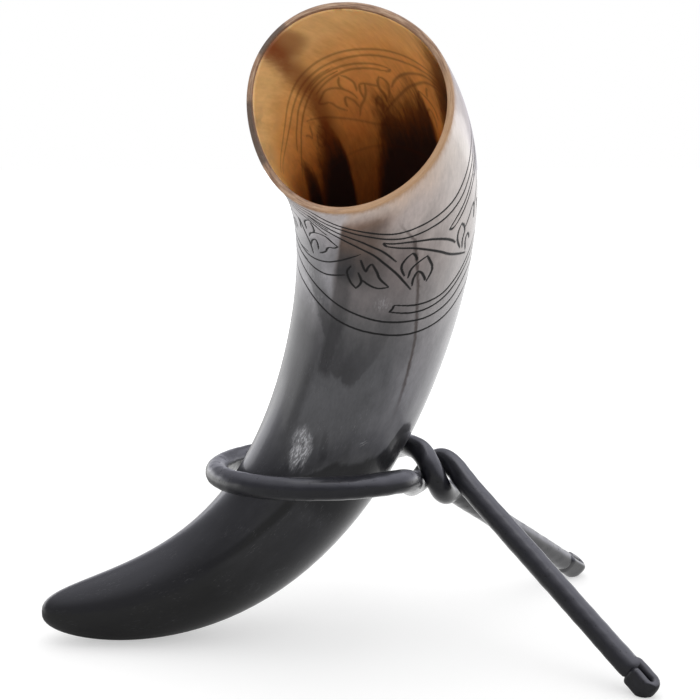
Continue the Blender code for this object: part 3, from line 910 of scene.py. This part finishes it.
def pale_marks(colour, place, angle, s, fine_streak, mottle, cloud):
    """The outside's colour with its whitish marks, and how scuffed each place is."""
    # flecks between the band's lower lines
    scratchy = place.drawn(0.012).noise(46, 3, 0.6).rise(0.42, 0.68)
    flecks = scratchy * mottle.rise(0.42, 0.62) * s.within(182, 194, 202, 211)
    flecks = flecks * angle.within(-68, -56, -46, -34)
    haze = off_middle((angle + 2) * 0.14, (s - 199) * 0.22).rise(1, 0) * scratchy * 0.8
    colour = (flecks.either(haze) * 0.3).over(colour, 190, 188, 192)
    # scuffs above the ring, drawn out along the grain, a double nick beside them and fine scratches
    spread = off_middle((angle + 24 + (s - 126) * 0.35) * 0.085, (s - 127) * 0.088).rise(1.15, 0.05)
    coarse = place.drawn(0.01).noise(13, 4, 0.6) + spread * 0.25
    scuff = spread * (coarse.rise(0.46, 0.76) * (0.35 + scratchy * 0.65) + spread * scratchy * 0.35)
    nick_along = (angle - 18) * 0.34 + (s - 139.5) * 0.57
    nick_across = (s - 139.5) * 0.78 - (angle - 18) * 0.42 + (fine_streak - 0.5) * 1.2
    nick = (nick_across.size() - 0.5).size().rise(0.35, 0) * nick_along.size().rise(1.8, 0.3)
    scuff = scuff.either(nick * 0.4)
    scratch = place.drawn(0.004).noise(120, 1).rise(0.66, 0.72)
    scratch = scratch * cloud.rise(0.48, 0.6) * s.rise(190, 150)
    return (scuff * 0.72 + scratch * 0.1).over(colour, 192, 192, 196), scuff


def horn_skin():
    """Polished outside: black tip, charcoal above the ring, grey to cream at the rim, with a grain."""
    material, wire, shader = new_material("horn_skin", paint(70, 68, 66), {"Coat Roughness": 0.09})
    place, angle, _, s = horn_map(wire)
    grain = place.drawn(0.012)
    streak = grain.noise(6, 4)
    fine_streak = grain.noise(34, 3)
    cloud = place.drawn(0.03).noise(2.6, 2)
    mottle = place.drawn(0.02).noise(5, 5, 0.6)
    wander = (streak - 0.5) * 24 + (cloud - 0.5) * 16
    colour = dark_marks(horn_ground(angle, s, wander), wire, angle, s, wander, mottle)
    tone = 0.36 + streak * 0.5 + fine_streak * 0.38 + mottle * 0.4
    colour = colour.tinted(tone, tone, tone)
    colour, scuff = pale_marks(colour, place, angle, s, fine_streak, mottle, cloud)
    # brown crack that wanders down the grain, warm edge under the rim and dark engraving
    crack = (wire.attribute("crack") + (fine_streak - 0.5) * 1.2).size().rise(0.9, 0.1)
    crack = crack * s.within(146, 172, 226, 246)
    colour = (crack * (0.4 + streak * 0.7)).over(colour, 54, 40, 35)
    edge = (wire.attribute("below_rim") + (fine_streak - 0.5) * 3).rise(3.4, 0.2)
    colour = (edge * 0.7).over(colour, 166, 126, 88)
    cut = wire.attribute("engraving")
    colour = (cut.rise(0.02, 0.34) * 0.96).over(colour, 9, 7, 7)
    wear = place.drawn(0.02).noise(90, 2)
    rough = 0.22 + fine_streak * 0.1 + wear * 0.08 + cut * 0.35 + scuff * 0.25
    relief = wire.bump(streak * 0.6 + wear * 0.4, 0.14, 0.0004)
    polish = (1 - cut) * 0.5
    link(shader, {"Base Color": colour, "Roughness": rough, "Coat Weight": polish, "Normal": relief})
    return material


def horn_rim():
    """Sawn edge of the mouth: taupe and beige layers round it, charcoal places, brown inner edge."""
    material, wire, shader = new_material("horn_rim", paint(150, 126, 106), {})
    place, angle, from_back, _ = horn_map(wire)
    across = wire.attribute("across")
    flat_map = place.drawn(0)
    layer_map = place.add("CombineXYZ", {}, {2: across * 0.9})
    layer_map = layer_map.add("VectorMath", {"operation": "ADD"}, {0: layer_map, 1: flat_map})
    layers = layer_map.noise(5.5, 5, 0.65)
    patches = flat_map.noise(4.2, 3, 0.6)
    speck = layer_map.noise(44, 2)
    stops = [(0.32, 110, 84, 66), (0.46, 150, 117, 92), (0.56, 168, 137, 112), (0.68, 190, 163, 137)]
    colour = layers.ramp(*stops)
    front = (angle.size() + (patches - 0.5) * 60).rise(70, 25)
    colour = (front * 0.7).over(colour, 184, 146, 108)
    dark = (patches - 0.5) * 48 + from_back
    dark = dark.within(158, 170, 178, 190) + dark.within(205, 220, 244, 266)
    colour = (dark * (0.35 + layers * 0.8)).over(colour, 58, 52, 50)
    colour = (across.rise(0.8, 0.97) * 0.7).over(colour, 112, 70, 38)
    colour = (speck.rise(0.58, 0.7) * 0.25).over(colour, 202, 184, 162)
    relief = wire.bump(layers * 0.7 + speck * 0.3, 0.2, 0.0003)
    link(shader, {"Base Color": colour, "Roughness": 0.24 + speck * 0.2, "Normal": relief})
    return material


def horn_hollow():
    """Inside: honey amber at the mouth, brown along the grain, black deep down as painted shade over the
    horn's dark colour, and the band painted on as its shadow through the wall.
    """
    glow = {"Subsurface Weight": 0.4, "Subsurface Radius": (1, 0.45, 0.2), "Subsurface Scale": 0.004}
    material, wire, shader = new_material("horn_hollow", paint(190, 134, 72), glow)
    place, _, angle, s = horn_map(wire)
    grain = place.drawn(0.01)
    streak = grain.noise(7, 4)
    fine_streak = grain.noise(30, 3)
    blotch = place.drawn(0.035).noise(3, 4, 0.6)
    fray = (streak - 0.5) * 26 + (fine_streak - 0.5) * 22
    frayed = s + fray * 0.3
    colour = s_ramp(
        frayed,
        (196, 134, 72, 32), (212, 172, 98, 44), (228, 210, 138, 68), (240, 232, 168, 94),
        (254, 234, 178, 106), (266, 226, 186, 124), (276, 218, 178, 122),
    )
    tone = 0.42 + streak * 0.42 + fine_streak * 0.28 + blotch * 0.46
    warm = tone * 1.15 - 0.15
    colour = colour.tinted(tone, warm, warm * 0.96)
    # grey-brown streaks near the rim at the left
    taupe = blotch.rise(0.4, 0.62) * angle.within(206, 228, 262, 276) * frayed.rise(250, 268)
    colour = (taupe * 0.55).over(colour, 140, 110, 84)
    # painted shade deep in the hollow, black over the horn's dark colour, frayed along the grain, with a
    # brown fringe
    depth = wire.attribute("above_shade_and_black") + fray * 0.42
    colour = (depth.rise(12, -2) * 0.85).over(colour, 112, 50, 16)
    colour = depth.rise(5, -11).over(colour, 56, 36, 30)
    # brown streak and stain from the rim at the back, running down to the right
    streak_spread = (wire.attribute("streak") + fray * 0.16).size().rise(12, 1) * depth.rise(-9, 6)
    colour = (streak_spread * (0.3 + blotch * 0.8)).over(colour, 124, 44, 6)
    stain = off_middle((angle - 175 + fray * 0.2) * 0.08, (s - 272) * 0.1)
    colour = (stain.rise(1, 0.15) * 0.65).over(colour, 130, 60, 22)
    # painted shadow of the outside engraving, cast through the thin wall onto the hollow
    through = wire.attribute("engraving")
    colour = (through * (0.18 + s.rise(214, 246) * 0.34)).over(colour, 92, 36, 8)
    relief = wire.bump(streak * 0.7 + fine_streak * 0.3, 0.15, 0.0004)
    link(shader, {"Base Color": colour, "Roughness": 0.26 + fine_streak * 0.16, "Normal": relief})
    return material


def black_paint():
    """Satin black paint on hammered iron: uneven gloss, worn places, small pits and dust-fine grain."""
    coat = {"Coat Weight": 0.85, "Coat Roughness": 0.22}
    material, wire, shader = new_material("black_paint", paint(28, 28, 34), coat)
    place = wire.add("TexCoord", {}, {}, 3)
    uneven = place.noise(210, 3)
    grain = place.noise(1500, 2)
    worn = place.noise(420, 4, 0.7).rise(0.6, 0.74)
    pits = place.noise(640, 2).rise(0.36, 0.3)
    colour = (uneven * 0.4 + worn * 0.5).blend(paint(13, 13, 18), paint(36, 36, 46))
    colour = (pits * 0.8).over(colour, 6, 6, 8)
    rough = 0.24 + uneven * 0.18 + grain * 0.08 + pits * 0.3
    relief = wire.bump(uneven * 0.6 + grain * 0.3 - pits * 0.5, 0.35, 0.0004)
    link(shader, {"Base Color": colour, "Roughness": rough, "Normal": relief})
    return material


def pale_floor():
    """White table: its shadow stays near the object, and further out it grows plain white to the camera.

    Reflections show it bright only behind the object and beside it, and dark under the horn's tip.
    """
    matt = {"Roughness": 0.9, "Specular IOR Level": 0, "Emission Strength": 1}
    material, wire, shader = new_material("pale_floor", FLOOR_WHITE, matt)
    place = wire.add("TexCoord", {}, {}, 3)
    away = place.add("VectorMath", {"operation": "LENGTH"}, {0: place}, 1)
    right, back, _ = place.axes()
    seen, through, mirrored = wire.rays("Is Camera Ray", "Is Transmission Ray", "Is Glossy Ray")
    colour = (0.85 - seen * 0.25 - mirrored * 0.6).blend(BLACK, WHITE)
    beside = right.rise(-0.09, 0.02) + right.rise(-0.12, -0.22) * 0.7
    bright_back = beside * back.rise(-0.05, 0.06) * (0.75 + away.rise(0.14, 0.36) * 0.35)
    lift = (seen + through) * (0.46 + away.rise(0.16, 0.55) * 0.54) + mirrored * bright_back
    link(shader, {"Base Color": colour, "Emission Color": lift.blend(BLACK, WHITE)})
    return material


def make_floor():
    """Square floor round the object."""
    mesh = bpy.data.meshes.new("floor")
    signs = [(-1, -1), (1, -1), (1, 1), (-1, 1)]
    corners = [(x * FLOOR_HALF, y * FLOOR_HALF, FLOOR_LEVEL) for x, y in signs]
    mesh.from_pydata(corners, [], [(0, 1, 2, 3)])
    mesh.materials.append(pale_floor())
    floor = put("floor", mesh)


def make_studio():
    """White surroundings; reflections show them grey in front, brighter behind, above and at the right."""
    world = bpy.data.worlds.new("studio")
    world.use_nodes = True
    bpy.context.scene.world = world
    wire = Wire(world.node_tree)
    right, back, up = wire.add("TexCoord", {}, {}, 0).axes()
    seen, mirrored = wire.rays("Is Camera Ray", "Is Glossy Ray")
    sides = back.rise(0.10, 0.60) * 0.66 + right.rise(0.45, 0.95) * back.rise(-0.70, 0.10) * 0.4
    reflection = 0.25 + up.rise(0.35, 0.85) * 0.60 + (right + up).rise(0.70, 1.30) * 0.90
    reflection = reflection + sides * (1.0 - up.rise(-0.05, 0.35) * 0.85)
    light = mirrored * reflection + (1.0 - mirrored)
    strength = seen + (1.0 - seen) * light
    colour = mirrored.blend(WHITE, COOL_WHITE)
    link(world.node_tree.nodes["Background"], {"Strength": strength, "Color": colour})


def make_stage():
    """Floor, studio, soft lamps and the photograph's camera."""
    make_floor()
    make_studio()
    for name, at, turn, width, height, power in LAMPS:
        lamp = bpy.data.lights.new(name, "AREA")
        lamp.shape = "RECTANGLE"
        lamp.size = width
        lamp.size_y = height
        lamp.energy = power
        put(name, lamp, at, turn)
    camera = bpy.data.cameras.new("camera")
    camera.sensor_width = SENSOR
    camera.lens = SENSOR * FOCAL_PIXELS / PICTURE_PIXELS
    scene = bpy.context.scene
    scene.camera = put("camera", camera, CAMERA_AT, (CAMERA_TILT, 0.0, CAMERA_TURN))
    scene.view_settings.view_transform = "Standard"


def dress_horn():
    """The horn's piece, with the maps that its materials read, each a value at every point."""
    points, faces, place, line, across, finish = make_horn()
    points = np.clip(points, *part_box("horn"))
    horn = add_piece("horn_visual", points, faces, [horn_skin(), horn_rim(), horn_hollow()])
    horn.data.polygons.foreach_set("material_index", finish)
    angle = np.degrees(np.arctan2(place[:, 1], place[:, 0]))
    s = place[:, 2]
    round_at = np.linspace(-180.0, 180.0, 361)
    rim = np.interp(angle, round_at, rim_distance(np.radians(round_at)) / MM)
    maps = {
        "engraving": line,
        "across": across,
        "below_rim": rim - s,
        "above_shade_and_black": s - round_curve(SHADE_AND_BLACK_REACH, angle),
        "above_ring_shade_and_stain": s - np.interp(angle, *zip(*RING_SHADE_AND_STAIN_EDGE)),
        "above_cloud": s - np.interp(angle, *zip(*CLOUD_EDGE)),
        "streak": angle % 360.0 - np.interp(s, *zip(*BROWN_STREAK)),
        "crack": (angle - np.interp(s, *zip(*CRACK))) * mm_per_degree(angle, s),
    }
    for name, values in maps.items():
        value_map = horn.data.attributes.new(name, "FLOAT", "POINT")
        value_map.data.foreach_set("value", values.astype(np.float32))
    place_map = horn.data.attributes.new("place", "FLOAT_VECTOR", "POINT")
    place_map.data.foreach_set("vector", place.astype(np.float32).ravel())
    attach(horn, "horn")
    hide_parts("horn")


def dress_stand():
    """The stand's piece: the whole bar, in its paint."""
    points, faces = make_stand()
    points = np.clip(points, *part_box("iron_stand"))
    stand = add_piece("stand_bar", points, faces, [black_paint()])
    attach(stand, "stand")
    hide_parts("iron_stand")


make_stage()
dress_horn()
dress_stand()
